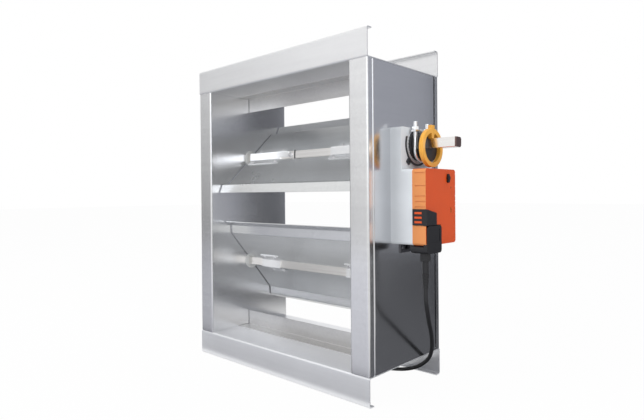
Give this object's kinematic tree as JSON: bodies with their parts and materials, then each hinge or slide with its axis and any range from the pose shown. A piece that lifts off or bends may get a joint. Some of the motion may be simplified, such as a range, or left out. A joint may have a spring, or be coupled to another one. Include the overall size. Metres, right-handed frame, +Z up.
{
  "type": "motorised duct damper",
  "caption": "Rectangular galvanised duct damper with opposed folded blades, a side linkage channel and a direct-coupled rotary actuator with its lead.",
  "frame": {"origin": "on the surface the damper stands on, midway between the far casing edge and the drive shaft's end in X and between the two flange faces in Y", "axes": "+X from the plain jamb to the drive side, +Y through the duct from the shown face to the rear face, +Z up"},
  "size_m": [0.514, 0.2, 0.56],
  "materials": {
    "galvanised_frame": "galvanised sheet, soft sheen",
    "galvanised_blade": "galvanised sheet, soft sheen",
    "cover_sheet": "smooth galvanised sheet",
    "bright_zinc": "bright zinc plate",
    "steel": "bright drawn steel",
    "bush_nylon": "smooth",
    "grey_housing": "fine satin",
    "orange_housing": "satin",
    "amber_plastic": "smooth",
    "black_plastic": "satin",
    "cable_rubber": "satin",
    "gear_brass": "machined",
    "board": "solder resist",
    "lens": "clear cream"
  },
  "bodies": {
    "casing": {"top_rail": "galvanised_frame", "bottom_rail": "galvanised_frame", "left_jamb": "galvanised_frame", "right_jamb": "galvanised_frame", "top_stop": "galvanised_frame", "bottom_stop": "galvanised_frame", "linkage_cover": "cover_sheet", "cover_screws": "steel", "actuator_base": "grey_housing", "actuator_hood": "orange_housing", "hood_screws": "steel", "gear_plate": "bright_zinc", "gear_axles": "steel", "motor": "steel", "end_stops": "black_plastic", "circuit_board": "board", "status_lens": "lens", "torque_bracket": "bright_zinc", "torque_pin": "steel", "connector_plug": "black_plastic", "cable_gland": "black_plastic", "strain_relief": "cable_rubber", "lead": "cable_rubber", "lead_coil": "cable_rubber", "lead_cores": "cable_rubber"},
    "upper_drive": {"upper_blade": "galvanised_blade", "upper_shaft": "steel", "upper_bushes": "bush_nylon", "upper_straps": "bright_zinc", "upper_rivets": "steel", "upper_crank": "steel", "upper_shaft_clip": "steel", "bar_screw": "steel", "bar_clip": "black_plastic", "output_gear": "bush_nylon", "clamp_hub": "black_plastic", "clamp_jaw": "black_plastic", "clamp_bridge": "bright_zinc", "clamp_bolt": "bright_zinc", "clamp_nuts": "bright_zinc", "ring_carrier": "black_plastic", "position_ring": "amber_plastic"},
    "lower_drive": {"lower_blade": "galvanised_blade", "lower_shaft": "steel", "lower_bushes": "bush_nylon", "lower_straps": "bright_zinc", "lower_rivets": "steel", "lower_crank": "steel", "lower_shaft_clip": "steel"},
    "tie_rod": {"tie_rod": "bright_zinc"},
    "first_gear": {"first_gear": "steel"},
    "second_gear": {"second_gear": "gear_brass"},
    "motor_pinion": {"motor_pinion": "gear_brass"},
    "release_button": {"release_button": "black_plastic"},
    "direction_knob": {"direction_knob": "black_plastic"}
  },
  "joints": [
    {"name": "upper_blade_swing", "type": "hinge", "parent": "casing", "child": "upper_drive", "pos_m": [0, 0, 0.3905], "axis": [1, 0, 0], "range_deg": [-43, 47]},
    {"name": "lower_blade_swing", "type": "hinge", "parent": "casing", "child": "lower_drive", "pos_m": [0, 0, 0.1775], "axis": [1, 0, 0], "range_deg": [-40.05, 36.65]},
    {"name": "tie_rod_pivot", "type": "hinge", "parent": "upper_drive", "child": "tie_rod", "pos_m": [0.1475, 0.031, 0.3905], "axis": [1, 0, 0], "range_deg": [-47.05, 43.05]},
    {"name": "first_gear_spin", "type": "hinge", "parent": "casing", "child": "first_gear", "pos_m": [0, 0, 0.3625], "axis": [1, 0, 0], "range_deg": [-172.38, 157.72]},
    {"name": "second_gear_spin", "type": "hinge", "parent": "casing", "child": "second_gear", "pos_m": [0, 0, 0.3425], "axis": [1, 0, 0], "range_deg": [-367.94, 402.16]},
    {"name": "motor_spin", "type": "hinge", "parent": "casing", "child": "motor_pinion", "pos_m": [0, 0, 0.3205], "axis": [1, 0, 0], "range_deg": [-1072.35, 981.09]},
    {"name": "release_press", "type": "slide", "parent": "casing", "child": "release_button", "axis": [-1, 0, 0], "range_m": [0, 0.0025], "stiffness_N_per_m": 400, "springref_m": -0.003},
    {"name": "direction_turn", "type": "hinge", "parent": "casing", "child": "direction_knob", "pos_m": [0.228, 0.02, 0.3375], "axis": [1, 0, 0], "range_deg": [0, 90]}
  ],
  "couplings": [
    {"joint": "lower_blade_swing", "follows": "upper_blade_swing", "ratio": -0.85106},
    {"joint": "tie_rod_pivot", "follows": "upper_blade_swing", "ratio": -1},
    {"joint": "first_gear_spin", "follows": "upper_blade_swing", "ratio": -3.6667},
    {"joint": "second_gear_spin", "follows": "upper_blade_swing", "ratio": 8.5556},
    {"joint": "motor_spin", "follows": "upper_blade_swing", "ratio": -22.815}
  ]
}
